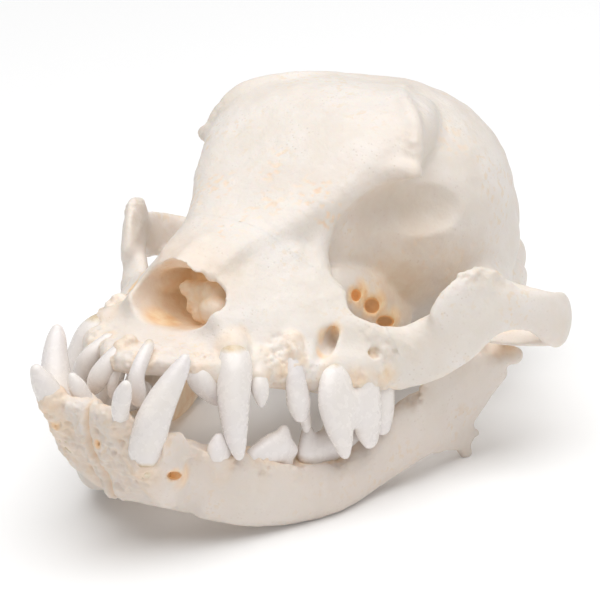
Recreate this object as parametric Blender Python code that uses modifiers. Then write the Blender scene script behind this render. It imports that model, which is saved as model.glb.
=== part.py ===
"""Skull of a short-faced dog with its lower jaw, life size, jaws nearly closed.

The bones are modelled in the skull's own frame, in millimetres: x to the dog's left, y to its back,
z up, with x = 0 on the midline. Each bone is a union of swept limbs and ellipsoids whose joints are
filleted. Paired pieces are modelled on the left and mirrored. The whole is then stood on the floor.
"""

import math

import bmesh
import bpy
import numpy as np
from mathutils import Euler, Matrix, Vector

MM = 0.001

# Driving dimensions
HALF_BRAIN = 27.0
HALF_ARCH = 50.0
HALF_BROW = 24.6
CANINE_CROWN = 18.0
JAW_THICKNESS = 4.4
SEAM = 0.3
ROOT = 0.12
CELL = 0.75
JAW_CELL = 0.675

# The skull leans back by this angle and is then moved by this much, to stand on the floor
LEAN = 6.3
STAND = Vector((0.0, -3.48, -5.5))

# Suture between the muzzle and the braincase, a plane by its normal and level
SUTURE = (0.0, 0.84, 0.54)
SUTURE_LEVEL = 12.5
SUTURE_HALF = SEAM / 2

# Triangles kept of each bone before its teeth are joined
CRANIUM_FACES = 9000
JAW_FACES = 1900

BONE = (0.86, 0.80, 0.72, 1.0)


def clear_scene():
    for obj in list(bpy.data.objects):
        bpy.data.objects.remove(obj)


def collection(name, hidden=False):
    made = bpy.data.collections.new(name)
    made.hide_render = hidden
    bpy.context.scene.collection.children.link(made)
    return made


def link(name, mesh):
    obj = bpy.data.objects.new(name, mesh)
    bpy.context.scene.collection.objects.link(obj)
    return obj


def finish_piece(bm, mirror):
    if mirror:
        for vert in bm.verts:
            vert.co.x = -vert.co.x
    bmesh.ops.recalc_face_normals(bm, faces=bm.faces)
    mesh = bpy.data.meshes.new("piece")
    bm.to_mesh(mesh)
    bm.free()
    return link("piece", mesh)


def ball(centre, radii, turn=(0, 0, 0), mirror=False):
    """An ellipsoid, turned by degrees about x, y and z."""
    bm = bmesh.new()
    bmesh.ops.create_uvsphere(bm, u_segments=32, v_segments=16, radius=1)
    place = Matrix.Translation(Vector(centre) * MM)
    turned = Euler([math.radians(angle) for angle in turn]).to_matrix().to_4x4()
    size = Matrix.Diagonal((*(Vector(radii) * MM), 1))
    bmesh.ops.transform(bm, matrix=place @ turned @ size, verts=bm.verts)
    return finish_piece(bm, mirror)


def through(keys, steps):
    """Rows of numbers on a smooth curve through the key rows."""
    keys = np.array(keys, float)
    ends = np.vstack([2 * keys[0] - keys[1], keys, 2 * keys[-1] - keys[-2]])
    rows = []
    for a, b, c, d in zip(ends, ends[1:], ends[2:], ends[3:]):
        for step in range(steps):
            t = step / steps
            line = 2 * b + (c - a) * t
            rows.append((line + (2 * a - 5 * b + 4 * c - d) * t**2 + (3 * b - a - 3 * c + d) * t**3) / 2)
    rows.append(keys[-1])
    return rows


def limb(keys, up=(0, 0, 1), steps=5, sides=20, power=2.0, under=1.0, reach=None, mirror=False):
    """A loft through superellipses, from keys of x, y, z, half width and half height along up.

    Its two ends are rounded over by the reach, or by the smaller half size. Below its line the
    section is as deep as the factor under.
    """
    rows = through(keys, steps)
    centres = [Vector(row[:3]) for row in rows]
    last = len(rows) - 1
    runs = [(centres[min(i + 1, last)] - centres[max(i - 1, 0)]).normalized() for i in range(last + 1)]
    domes = [(math.sin(angle), math.cos(angle)) for angle in (1.45, 1.1, 0.7, 0.3)]
    stations = []
    for out, size in domes:
        w, h = rows[0][3:]
        stations.append((centres[0] - runs[0] * (reach or min(w, h)) * out, runs[0], w * size, h * size))
    stations += [(centre, run, *row[3:]) for centre, run, row in zip(centres, runs, rows)]
    for out, size in reversed(domes):
        w, h = rows[-1][3:]
        stations.append((centres[-1] + runs[-1] * (reach or min(w, h)) * out, runs[-1], w * size, h * size))
    bm = bmesh.new()
    rings = []
    for centre, run, w, h in stations:
        side = run.cross(Vector(up)).normalized()
        top = side.cross(run)
        ring = []
        for i in range(sides):
            c, s = math.cos(math.tau * i / sides), math.sin(math.tau * i / sides)
            depth = h if s > 0 else h * under
            across = side * math.copysign(w * abs(c) ** (2 / power), c)
            above = top * math.copysign(depth * abs(s) ** (2 / power), s)
            ring.append(bm.verts.new((centre + across + above) * MM))
        rings.append(ring)
    for one, other in zip(rings, rings[1:]):
        for i in range(sides):
            j = (i + 1) % sides
            bm.faces.new((one[i], one[j], other[j], other[i]))
    bm.faces.new(reversed(rings[0]))
    bm.faces.new(rings[-1])
    return finish_piece(bm, mirror)


def box(low, high):
    bm = bmesh.new()
    bmesh.ops.create_cube(bm, size=1)
    low, high = Vector(low) * MM, Vector(high) * MM
    for vert in bm.verts:
        vert.co = [a + (b - a) * (c + 0.5) for a, b, c in zip(low, high, vert.co)]
    return finish_piece(bm, False)


def apply(obj):
    bpy.context.view_layer.update()
    graph = bpy.context.evaluated_depsgraph_get()
    mesh = bpy.data.meshes.new_from_object(obj.evaluated_get(graph))
    obj.modifiers.clear()
    obj.data = mesh
    return obj


def joined(name, objs):
    bm = bmesh.new()
    for obj in objs:
        bm.from_mesh(obj.data)
        bpy.data.objects.remove(obj)
    mesh = bpy.data.meshes.new(name)
    bm.to_mesh(mesh)
    bm.free()
    return link(name, mesh)


def copy_of(obj):
    copied = obj.copy()
    copied.data = obj.data.copy()
    bpy.context.scene.collection.objects.link(copied)
    return copied


def add_remesh(obj, cell):
    modifier = obj.modifiers.new("one body", "REMESH")
    modifier.mode = "VOXEL"
    modifier.voxel_size = cell * MM
    modifier.use_smooth_shade = True


def add_smooth(obj, reach, cell):
    modifier = obj.modifiers.new("soften", "SMOOTH")
    modifier.factor = 0.5
    modifier.iterations = max(1, round(4 * (reach / cell) ** 2))


def fuse(name, pieces, cell, fillet, finish):
    """One body of the overlapping pieces: smoothing fills the joints, and the pieces keep their size."""
    full = [copy_of(piece) for piece in pieces]
    soft = joined(name, pieces)
    add_remesh(soft, cell)
    add_smooth(soft, fillet, cell)
    apply(soft)
    whole = joined(name, [soft, *full])
    add_remesh(whole, cell)
    add_smooth(whole, finish, cell)
    return apply(whole)


def combine(obj, tool, operation, solver="MANIFOLD"):
    modifier = obj.modifiers.new(operation.lower(), "BOOLEAN")
    modifier.operation = operation
    modifier.solver = solver
    modifier.object = tool
    apply(obj)
    bpy.data.objects.remove(tool)
    return obj


def carve(obj, cutters, cell, finish):
    tool = joined("cutters", cutters)
    add_remesh(tool, cell)
    combine(obj, apply(tool), "DIFFERENCE")
    add_remesh(obj, cell)
    add_smooth(obj, finish, cell)
    return apply(obj)


def braincase_forms():
    forms = [
        ball((0, 26, 48.4), (HALF_BRAIN, 28.5, 24)),
        ball((0, 34, 41), (25.5, 20, 17)),
        ball((0, 4, 50), (17, 20, 16)),
        # Forehead, from the root of the nose over its top to the back
        limb(
            [
                (0, -24, 48.8, 8.6, 4),
                (0, -15, 52.0, 12.5, 5),
                (0, -6, 57.0, 17.5, 6),
                (0, 3, 62.0, 21, 7.2),
                (0, 12, 65.6, 22, 7.6),
                (0, 22, 66.6, 18, 6.4),
                (0, 32, 65.0, 10, 4.4),
            ],
            power=2.9,
            sides=32,
        ),
        # Base of the skull
        limb(
            [(0, -8, 38, 13, 9), (0, 6, 37, 11.5, 9), (0, 22, 36, 14, 9), (0, 42, 33, 15, 7)],
            power=2.4,
        ),
        limb([(0, 22, 28.5, 8, 4), (0, 42, 28, 9, 4), (0, 54, 31, 8.5, 4)], power=2.4),
        # Back of the skull, its upper bump and the rim round it
        ball((0, 49, 42), (18, 7, 17)),
        ball((0, 52, 57.5), (4.5, 3.5, 3.5)),
    ]
    for mirror in (False, True):
        forms += [
            # Temporal line, from the brow's tip up and inward
            limb(
                [
                    (23, 6, 63, 2, 2),
                    (22, 8.5, 67, 2, 2),
                    (18.5, 12, 70.8, 1.8, 1.8),
                    (11, 19, 72.4, 1.6, 1.6),
                    (4, 32, 70, 1.6, 1.6),
                ],
                mirror=mirror,
            ),
            # Brow, from its tip round the orbit's inner rim
            limb(
                [
                    (HALF_BROW, 5.2, 62.4, 1.5, 1.5),
                    (20, 3, 62.5, 2.4, 2.4),
                    (16, -2, 61, 2.6, 2.6),
                    (14.5, -7, 58, 2.6, 2.6),
                    (13.4, -9.2, 52.6, 2.6, 2.6),
                    (14.4, -12, 48, 2.6, 2.6),
                    (17.4, -13.8, 43.3, 2.6, 2.6),
                ],
                mirror=mirror,
            ),
            # Crest of the neck muscles
            limb(
                [
                    (17, 44, 38, 3, 3),
                    (16.6, 46, 46, 2.3, 2.3),
                    (12, 50, 53.5, 2.2, 2.2),
                    (3.5, 52.5, 58, 2.2, 2.2),
                ],
                mirror=mirror,
            ),
            # Ear region: bulla, crest, mastoid and the process under it
            ball((13.5, 31, 26), (7.5, 10, 7), mirror=mirror),
            limb(
                [
                    (24, 24, 37, 3, 4),
                    (24.8, 31, 34.5, 2.6, 3.5),
                    (21.3, 38.4, 34, 2.4, 3.6),
                    (17.4, 43.6, 35.6, 2.8, 3.6),
                ],
                mirror=mirror,
            ),
            limb(
                [(18.5, 45, 32, 4, 4), (17.5, 46.5, 25, 2.4, 3), (17, 46.5, 19, 1.4, 1.8)],
                up=(0, 1, 0),
                mirror=mirror,
            ),
            ball((9, 57, 31.5), (4.5, 5.5, 5.5), turn=(0, 20, 0), mirror=mirror),
            # Root of the arch, with the process behind the jaw's joint
            limb(
                [(21, 27, 36.5, 5, 6), (30, 24.5, 34.2, 4.5, 3.6), (38, 24.2, 34.8, 3, 3.4)],
                mirror=mirror,
            ),
            limb([(29, 26, 30.5, 4, 3), (30.5, 26.3, 25.5, 3.6, 1.6)], up=(0, 1, 0), mirror=mirror),
            # Wing beside the throat
            limb(
                [(9.5, -4, 30, 1.6, 4), (9.5, 5, 28.5, 1.5, 4.5), (10, 13, 28.5, 1.5, 3.5)],
                mirror=mirror,
            ),
        ]
    return forms


def face_forms():
    forms = [
        # Side walls of the face, sloping out from the nasal bones to the cheeks
        limb(
            [
                (0, -36.6, 34.2, 15.6, 16.2),
                (0, -29, 34.0, 20.4, 19.0),
                (0, -19, 34.2, 26.6, 20.8),
                (0, -11, 36, 29, 21.6),
            ],
            power=1.3,
            under=0.12,
            reach=1.5,
            sides=32,
        ),
        # Upper jaw, from the incisors back under the orbits
        limb(
            [
                (0, -50, 34.6, 5, 1.8),
                (0, -46.5, 34.6, 9, 2.4),
                (0, -41, 34.4, 13, 3.2),
                (0, -35, 34.6, 16.4, 3.6),
                (0, -29, 34.6, 19, 3.6),
                (0, -22, 35, 22, 4.2),
                (0, -14, 36, 23, 6),
                (0, -6, 38, 19, 8.5),
            ],
            power=2.9,
            sides=32,
        ),
        # Nasal bones
        limb([(0, -29.8, 49.0, 7.8, 2.2), (0, -25, 50.6, 8.6, 3), (0, -16, 52.4, 10, 4.5)], power=2.4),
        # Palate
        limb(
            [
                (0, -38, 33.6, 13, 2.2),
                (0, -28, 32.6, 17, 2.2),
                (0, -15, 30.5, 22, 2.4),
                (0, -4, 28, 20, 2.4),
            ],
            power=3,
        ),
    ]
    for mirror in (False, True):
        forms += [
            # Swelling over the canine's root
            limb(
                [
                    (16.2, -38.8, 33.2, 3.1, 3),
                    (13.2, -36.6, 36.2, 2.9, 2.9),
                    (9.8, -33.4, 39.8, 2.2, 2.2),
                ],
                mirror=mirror,
            ),
            # Rim that holds the cheek teeth
            limb(
                [
                    (12, -43, 34, 2.4, 2.6),
                    (15.3, -39, 33.4, 2.7, 3),
                    (18.4, -31, 32.4, 3.1, 3.8),
                    (23.6, -22, 30.6, 3.6, 4.4),
                    (27.2, -13, 30, 4.5, 5),
                    (28, -6, 28.8, 4.2, 4.4),
                ],
                mirror=mirror,
            ),
            # Cheek, out to the root of the arch
            limb(
                [(18, -21, 35.5, 4, 6), (24, -14.5, 34, 4, 6), (30.5, -8.5, 31.2, 3.4, 5.2)],
                mirror=mirror,
            ),
            # Lower rim of the orbit
            limb(
                [
                    (17.4, -13.8, 43.3, 2.6, 2.6),
                    (22.6, -13.7, 39.6, 2.5, 2.5),
                    (28, -12.2, 36, 2.4, 2.4),
                    (32, -7, 34, 2.6, 2.6),
                ],
                mirror=mirror,
            ),
        ]
    return forms


def arch_forms(mirror):
    return [
        limb(
            [
                (26.5, -13, 31.6, 3.2, 6.2),
                (31.5, -7.5, 31, 3.2, 6),
                (37.5, -2.4, 34.3, 2.5, 6),
                (43, 4, 39, 1.9, 4.6),
                (47, 11.5, 38.2, 1.7, 4.1),
                (HALF_ARCH - 1.7, 17.6, 35.3, 1.9, 5.4),
                (45, 22.8, 34.4, 2.2, 4.6),
                (38, 24.2, 34.8, 3, 3.4),
                (29, 24.8, 34.5, 4, 4),
            ],
            mirror=mirror,
        ),
        # Process behind the orbit, a low rounded bump
        limb(
            [
                (37.8, -4.4, 38.6, 1.8, 3.4),
                (39.6, -1.2, 42.6, 1.9, 4),
                (41.2, 2, 43.6, 1.9, 4.6),
                (43, 5.4, 42, 1.8, 3.8),
                (45, 8.6, 39.6, 1.7, 3),
            ],
            mirror=mirror,
        ),
        # Roof over the jaw's joint
        limb(
            [(36.6, 17.5, 30.5, 6.4, 1.1), (41, 17.6, 30.5, 5.6, 1.1), (46.2, 18.4, 31, 3, 1.2)],
            mirror=mirror,
        ),
    ]


def cranium_cutters():
    cutters = [
        # Nose opening and the passage behind it
        ball((0, -33.8, 43.2), (10.2, 7, 5.7), turn=(-20, 0, 0)),
        limb([(0, -38, 42.8, 9.2, 4.6), (0, -26, 42, 8, 5.5), (0, -14, 40.5, 7, 5)], power=2.3),
        # Throat opening behind the palate
        limb([(0, -1, 30, 7, 2.6), (0, 8, 28.5, 7.2, 3.6), (0, 16, 26.5, 7.2, 3.4)], power=2.4),
        # Hole for the spinal cord, and the hollow of the brain behind it
        limb([(0, 36, 41, 6.4, 5.4), (0, 46, 38.4, 6.7, 6), (0, 64, 38.5, 7.2, 6.6)]),
        ball((0, 27, 50), (HALF_BRAIN - 4, 22, 17.5)),
    ]
    for mirror in (False, True):
        cutters += [
            # Orbit, hollowed under the brow and behind its lower rim
            ball((27.6, -1, 49), (11.6, 11.5, 11.5), mirror=mirror),
            ball((24, -5.5, 39.6), (7.6, 9, 6.4), turn=(0, -25, 0), mirror=mirror),
            limb(
                [
                    (24, -7, 51.5, 8.5, 7.5),
                    (24.5, 0, 53.5, 9, 7.5),
                    (27, 8, 54.5, 9, 7),
                    (31.5, 15, 54, 7.6, 7),
                    (36.5, 22, 53.5, 7, 7.4),
                ],
                mirror=mirror,
            ),
            # Canal from under the orbit out to the cheek, and the ear hole
            limb(
                [(25.5, -26, 35.8, 1.5, 2.9), (23.2, -18, 36, 1.4, 2.5), (22, -8, 37, 1.8, 2.2)],
                mirror=mirror,
            ),
            limb([(28.5, 34.5, 33, 2.4, 2.4), (20, 34, 32, 1.8, 1.8)], mirror=mirror),
        ]
    return cutters


def cranium(cell):
    forms = braincase_forms() + face_forms() + arch_forms(False) + arch_forms(True)
    return carve(fuse("cranium", forms, cell, 1.8, 0.7), cranium_cutters(), cell, 0.6)


def jaw_forms(mirror):
    return [
        # Body, from the chin to the root of the ramus
        limb(
            [
                (13.6, -42.6, 13, JAW_THICKNESS, 7.2),
                (15.8, -39.6, 12.2, JAW_THICKNESS, 7.4),
                (18.6, -34.5, 10.9, JAW_THICKNESS, 7.7),
                (21.8, -27, 9.3, JAW_THICKNESS, 6.8),
                (24.6, -19, 9.1, JAW_THICKNESS, 6),
                (26.6, -11, 11.4, 3.5, 5.7),
                (30, -3, 15.6, 2.9, 6.4),
                (31.6, 4, 17, 2.2, 6.4),
            ],
            mirror=mirror,
        ),
        # Front of the body, leaning out over the chin
        limb(
            [
                (-3, -52.4, 16.8, 3.6, 7.4),
                (3.4, -51.5, 16.5, 3.6, 7.6),
                (7, -49, 15.5, 3.8, 7.8),
                (12.4, -43.6, 13.4, 4, 7.6),
            ],
            up=(0.55, 0, 1),
            mirror=mirror,
        ),
        # Chin, sloping forward up to the incisors
        limb(
            [
                (2, -50.5, 12.5, 6.6, 2.4),
                (2.3, -54, 18, 7.2, 3.4),
                (2.6, -57.5, 24, 7.8, 3.4),
                (2.6, -59, 27.5, 7.2, 2.2),
            ],
            up=(0, 1, 0),
            mirror=mirror,
        ),
        # Socket of the canine
        limb(
            [(11, -55.2, 21.4, 4.5, 4.3), (10.4, -52.2, 16.8, 4.4, 4.3), (9, -49, 12.6, 3.8, 3.8)],
            mirror=mirror,
        ),
        # Ridge behind the canine, rising to its outer side
        limb(
            [(14, -46, 19.5, 1.8, 2.4), (14, -51, 22.4, 1.8, 2.4), (14, -54.2, 24, 1.2, 1.4)],
            mirror=mirror,
        ),
        # Ramus, up to its tip and back to the joint
        limb(
            [
                (30.8, 0.5, 13.5, 2.2, 8),
                (32, 6, 21.5, 1.7, 9.8),
                (33, 9.6, 27.4, 1.5, 8.6),
                (31.6, 10.8, 33.6, 1.2, 3.6),
            ],
            up=(0, 1, 0),
            mirror=mirror,
        ),
        limb(
            [(31.4, 6, 14.5, 1.8, 6.8), (33, 11, 19.4, 1.9, 6.5), (35.6, 16, 24.2, 2, 4.4)],
            up=(0, 1, -0.6),
            mirror=mirror,
        ),
        limb(
            [(30.2, 18.4, 26, 1.8, 2), (35, 18.2, 26.4, 2.1, 2.1), (38.4, 18.4, 26.4, 1.7, 1.8)],
            mirror=mirror,
        ),
        # Angle with its two points, the upper behind and the lower on the floor
        limb(
            [(31, 2, 14, 1.9, 3.2), (31.6, 9.5, 11.5, 1.8, 2.8), (32, 12.6, 11.4, 1.5, 2.3)],
            mirror=mirror,
        ),
        limb([(31.9, 12, 11.6, 1.4, 1.3), (32.2, 14.8, 10.8, 1, 0.9)], mirror=mirror),
        limb([(31.6, 10.4, 10.4, 1.5, 1.6), (31.8, 12.3, 7.5, 1.2, 1.2)], mirror=mirror),
    ]


def jaw_cutters(mirror):
    return [
        # Hollow of the chewing muscle on the ramus and the front hole of the jaw's canal
        ball((35.6, 7, 24), (2.1, 6, 8), turn=(12, 0, 0), mirror=mirror),
        limb([(17.5, -51.5, 17, 1.2, 1.8), (12.5, -49, 16.2, 1, 1.5)], mirror=mirror),
    ]


def jaw(mirror, cell):
    return carve(fuse("jaw", jaw_forms(mirror), cell, 1.4, 0.5), jaw_cutters(mirror), cell, 0.4)


def cusp(base, tip, across, along, bow=(0, 0, 0), facing=(0, 1, 0), sides=8, rings=4, mirror=False):
    """A pointed crown on a sunk root: half widths across and along the jaw, bowed out half way up."""
    base, tip, bow = Vector(base), Vector(tip), Vector(bow)
    run = (tip - base).normalized()
    side = Vector(facing).cross(run).normalized()
    front = run.cross(side)
    bm = bmesh.new()
    loops = []
    for step in range(-1, rings):
        t = step / rings if step >= 0 else -ROOT
        size = 0.8 if step < 0 else (1 - t**2.2) ** 0.75
        centre = base.lerp(tip, t) + bow * (4 * max(t, 0) * (1 - t))
        angles = [math.tau * i / sides for i in range(sides)]
        loops.append([
            bm.verts.new((centre + (side * math.cos(a) * across + front * math.sin(a) * along) * size) * MM)
            for a in angles
        ])
    point = bm.verts.new(tip * MM)
    for one, other in zip(loops, loops[1:]):
        for i in range(sides):
            j = (i + 1) % sides
            bm.faces.new((one[i], one[j], other[j], other[i]))
    for i in range(sides):
        bm.faces.new((loops[-1][i], loops[-1][(i + 1) % sides], point))
    bm.faces.new(reversed(loops[0]))
    return finish_piece(bm, mirror)


def upper_teeth():
    teeth = []
    for mirror in (False, True):
        teeth += [
            # Second and third incisors, and the canine
            cusp((4.9, -50, 35.6), (5.8, -51.4, 29.6), 1.8, 1.6, mirror=mirror),
            cusp((11.8, -44.2, 35.6), (13.2, -41.5, 25.6), 2.6, 2.4, mirror=mirror),
            cusp(
                (16.8, -39.4, 34.6),
                (20.2, -41.7, 35.8 - CANINE_CROWN),
                3.1,
                3.3,
                bow=(0, -0.8, 0),
                mirror=mirror,
            ),
            # First and third premolars
            cusp((19.8, -35.6, 33.5), (20.3, -35.8, 27.4), 1.6, 1.7, mirror=mirror),
            cusp((22.6, -28.8, 34.5), (24, -29.2, 22.5), 2, 2.3, mirror=mirror),
            # Cutting tooth of two cusps
            cusp((27.6, -23.4, 29.5), (29, -23.4, 15.2), 2.4, 3.6, mirror=mirror),
            cusp((28.6, -16.6, 29), (29.8, -17.4, 15.8), 2.2, 3.4, mirror=mirror),
            # Molar with its inner cusp
            cusp((30, -10, 27.2), (31.5, -11.4, 14.2), 1.9, 2.9, mirror=mirror),
            cusp((24.6, -8.8, 27.6), (24.2, -9, 20.6), 3, 2.8, mirror=mirror),
        ]
    return teeth


def lower_teeth(mirror):
    """One half's teeth. The left half has a peg and a low premolar, and the right half a second incisor."""
    teeth = [
        cusp((8.4, -58.4, 27.5), (10.7, -62.3, 36.2), 2.2, 2.3, mirror=mirror),
        cusp(
            (11, -55.6, 22.5),
            (15.3, -50.2, 22.5 + CANINE_CROWN - 1.3),
            3.4,
            3.6,
            bow=(0.3, -1.6, 0),
            mirror=mirror,
        ),
        # Third and fourth premolars and the cutting molar
        cusp((19.6, -35, 16.4), (19.8, -35.4, 20.4), 1.9, 2.4, mirror=mirror),
        cusp((20.6, -31, 15.8), (21, -31, 22.2), 2.1, 3, mirror=mirror),
        cusp((23, -25, 13.6), (23, -24.4, 21.2), 2.1, 3, mirror=mirror),
        cusp((24.4, -18.6, 12.4), (24, -18.6, 20.4), 2.1, 4, mirror=mirror),
        cusp((25.8, -13, 14), (25.2, -12.8, 19.2), 2, 2.8, mirror=mirror),
    ]
    if mirror:
        return teeth + [cusp((4.2, -57.2, 27), (5.2, -58.6, 34), 1.8, 1.7, mirror=True)]
    return teeth + [
        cusp((3, -57.4, 27), (3.4, -58.6, 32.2), 1.1, 1.1),
        cusp((16.4, -42, 18.6), (16.2, -42.2, 23.4), 1.8, 2),
    ]


def half_space(normal, level):
    """A large block that fills the space where the dot product with the normal is over the level."""
    normal = Vector(normal)
    level /= normal.length
    reach = 200
    bm = bmesh.new()
    bmesh.ops.create_cube(bm, size=2 * reach * MM)
    bmesh.ops.translate(bm, vec=(0, 0, (reach + level) * MM), verts=bm.verts)
    bmesh.ops.transform(bm, matrix=normal.to_track_quat("Z", "Y").to_matrix().to_4x4(), verts=bm.verts)
    return finish_piece(bm, False)


def arch_space(gap, mirror):
    """Space of one arch: beyond the suture on the cheek, and outside the braincase."""
    sign = -1 if mirror else 1
    outer = box((27.6 + gap, -30, 0), (70, 16, 70))
    outer = combine(outer, box((34 + gap, -30, 1), (71, 45, 71)), "UNION", "EXACT")
    if mirror:
        outer.data.transform(Matrix.Scale(-1, 4, (1, 0, 0)))
        outer.data.flip_normals()
    return combine(outer, half_space((0.62 * sign, 0.66, 0.42), 27 + gap), "INTERSECT", "EXACT")


def keep_largest(obj):
    """Keeps the closed surface that holds the most faces."""
    bm = bmesh.new()
    bm.from_mesh(obj.data)
    left, groups = set(bm.faces), []
    while left:
        stack = [left.pop()]
        group = set(stack)
        while stack:
            for edge in stack.pop().edges:
                for face in edge.link_faces:
                    if face in left:
                        left.discard(face)
                        group.add(face)
                        stack.append(face)
        groups.append(group)
    groups.sort(key=len)
    bmesh.ops.delete(bm, geom=[face for group in groups[:-1] for face in group], context="FACES")
    bm.to_mesh(obj.data)
    bm.free()
    return obj


def thin_out(obj, faces):
    modifier = obj.modifiers.new("fewer faces", "DECIMATE")
    modifier.ratio = faces / sum(len(polygon.vertices) - 2 for polygon in obj.data.polygons)
    return apply(obj)


def cleaned(obj):
    bm = bmesh.new()
    bm.from_mesh(obj.data)
    bmesh.ops.triangulate(bm, faces=bm.faces)
    bmesh.ops.remove_doubles(bm, verts=bm.verts, dist=0.002 * MM)
    bmesh.ops.dissolve_degenerate(bm, dist=0.002 * MM, edges=bm.edges)
    bmesh.ops.triangulate(bm, faces=bm.faces)
    bm.to_mesh(obj.data)
    bm.free()
    return obj


def root_teeth(bone, teeth):
    for tooth in teeth:
        combine(bone, tooth, "UNION")
    return keep_largest(bone)


def bone_material(name, colour):
    material = bpy.data.materials.new(name)
    material.use_nodes = True
    shader = material.node_tree.nodes["Principled BSDF"]
    shader.inputs["Base Color"].default_value = colour
    shader.inputs["Roughness"].default_value = 0.6
    shader.inputs["Metallic"].default_value = 0.0
    return material


def cranium_nodes():
    """Braincase, muzzle and the two arches, parted along their sutures."""
    skull = thin_out(cranium(CELL), CRANIUM_FACES)
    arches = []
    for mirror in (False, True):
        arches.append(combine(copy_of(skull), arch_space(SEAM / 2, mirror), "INTERSECT"))
        combine(skull, arch_space(-SEAM / 2, mirror), "DIFFERENCE")
    front = combine(copy_of(skull), half_space(-Vector(SUTURE), -SUTURE_LEVEL + SUTURE_HALF), "INTERSECT")
    back = combine(skull, half_space(SUTURE, SUTURE_LEVEL + SUTURE_HALF), "INTERSECT")
    root_teeth(front, upper_teeth())
    return {
        "braincase": back,
        "muzzle": front,
        "zygomatic_arch_left": arches[0],
        "zygomatic_arch_right": arches[1],
    }


def jaw_nodes():
    nodes = {}
    for name, mirror in (("mandible_left", False), ("mandible_right", True)):
        half = thin_out(jaw(mirror, JAW_CELL), JAW_FACES)
        sign = -1 if mirror else 1
        combine(half, half_space((sign, 0, 0), SEAM / 2), "INTERSECT")
        nodes[name] = root_teeth(half, lower_teeth(mirror))
    return nodes


def stand(obj):
    """Tips the skull back onto its belly and angles, and stands it on the floor."""
    lean = Matrix.Rotation(math.radians(-LEAN), 4, "X")
    obj.data.transform(Matrix.Translation(STAND * MM) @ lean)


def main():
    clear_scene()
    nodes = {**cranium_nodes(), **jaw_nodes()}
    parts = collection("dog_skull")
    for name, obj in nodes.items():
        keep_largest(obj)
        stand(obj)
        if name.startswith("mandible"):
            combine(obj, box((-100, -100, -20), (100, 100, 0)), "DIFFERENCE")
        cleaned(obj)
        obj.name = obj.data.name = name
        obj.data.materials.clear()
        obj.data.materials.append(bone_material(name, BONE))
        obj.data.shade_smooth()
        bpy.context.scene.collection.objects.unlink(obj)
        parts.objects.link(obj)


if __name__ == "__main__":
    main()
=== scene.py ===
"""Looks of a short-faced dog's skull: dry ivory bone, glossy teeth, pale floor and soft light.

The bones and teeth are made in the skull's own frame, in millimetres: x to the dog's left, y to
its back, z up. Each bone is a fine union of filleted limbs and ellipsoids, hollowed and roughened,
then stood on the floor by the same lean and move as its solid.
"""

import math

import bmesh
import bpy
import numpy as np
from mathutils import Euler, Matrix, Vector, kdtree


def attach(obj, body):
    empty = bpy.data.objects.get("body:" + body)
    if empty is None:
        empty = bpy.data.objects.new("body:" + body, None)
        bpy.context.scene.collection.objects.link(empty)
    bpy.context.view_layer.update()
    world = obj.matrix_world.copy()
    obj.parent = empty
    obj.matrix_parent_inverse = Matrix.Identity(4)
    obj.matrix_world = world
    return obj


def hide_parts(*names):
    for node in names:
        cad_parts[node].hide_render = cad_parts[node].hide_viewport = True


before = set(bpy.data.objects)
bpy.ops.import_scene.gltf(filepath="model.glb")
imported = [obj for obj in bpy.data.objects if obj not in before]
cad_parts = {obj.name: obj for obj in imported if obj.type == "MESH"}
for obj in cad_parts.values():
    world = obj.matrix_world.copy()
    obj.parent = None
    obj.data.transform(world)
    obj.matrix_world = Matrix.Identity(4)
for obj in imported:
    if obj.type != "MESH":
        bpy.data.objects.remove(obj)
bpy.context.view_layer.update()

MM = 0.001

# Driving dimensions
HALF_BRAIN = 27.0
HALF_ARCH = 50.0
HALF_BROW = 24.6
JAW_THICKNESS = 4.4

# The skull leans back by this angle and is then moved by this much, to stand on the floor
LEAN = 6.3
STAND = Vector((0.0, -3.48, -5.5))

# Suture between the muzzle and the braincase, a plane by its normal and level
SUTURE = (0.0, 0.84, 0.54)
SUTURE_LEVEL = 12.5

# Suture between the cheek and the left arch, in the same form, and where the arches begin
CHEEK_SUTURE = (0.62, 0.66, 0.42)
CHEEK_LEVEL = 27
ARCH_START = 26

# The muzzle is refined with this much bone past its suture, and then cut at the suture
OVERLAP = 1.2

# The jaw halves meet in a groove, from this y forward
GROOVE_BACK = -50

# Cell sizes of the grids that the skull, the finer bones and the teeth are fused on
BONE_CELL = 0.45
FINE_CELL = 0.32
TOOTH_CELL = 0.18

# Shading of bone and tooth turns sharp where two faces meet at more than this angle
SHARP_ANGLE = 62

# How the ends of a limb round over, as angles on a quarter circle from the tip inward
DOME_ANGLES = (1.45, 1.1, 0.7, 0.3)

# Sockets of the colour mix node, which has others of the same names for other kinds of data
MIX_SHARE, MIX_ONE, MIX_OTHER, MIX_RESULT = 0, 6, 7, 2

# Numbers that spread the lattice's cells over the random values
SPREAD = (73856093, 19349663, 83492791)
SEED_SPREAD = 6542989

# Camera of the photograph, in the skull's frame
CAMERA_TARGET = Vector((8, -8, 38))
CAMERA_AZIMUTH = 37
CAMERA_ELEVATION = 16.4
CAMERA_DISTANCE = 800
CAMERA_LENS = 258.24


def link(name, mesh):
    obj = bpy.data.objects.new(name, mesh)
    bpy.context.scene.collection.objects.link(obj)
    return obj


def finish_piece(bm, mirror):
    if mirror:
        for vert in bm.verts:
            vert.co.x = -vert.co.x
    bmesh.ops.recalc_face_normals(bm, faces=bm.faces)
    mesh = bpy.data.meshes.new("piece")
    bm.to_mesh(mesh)
    bm.free()
    return link("piece", mesh)


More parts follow.
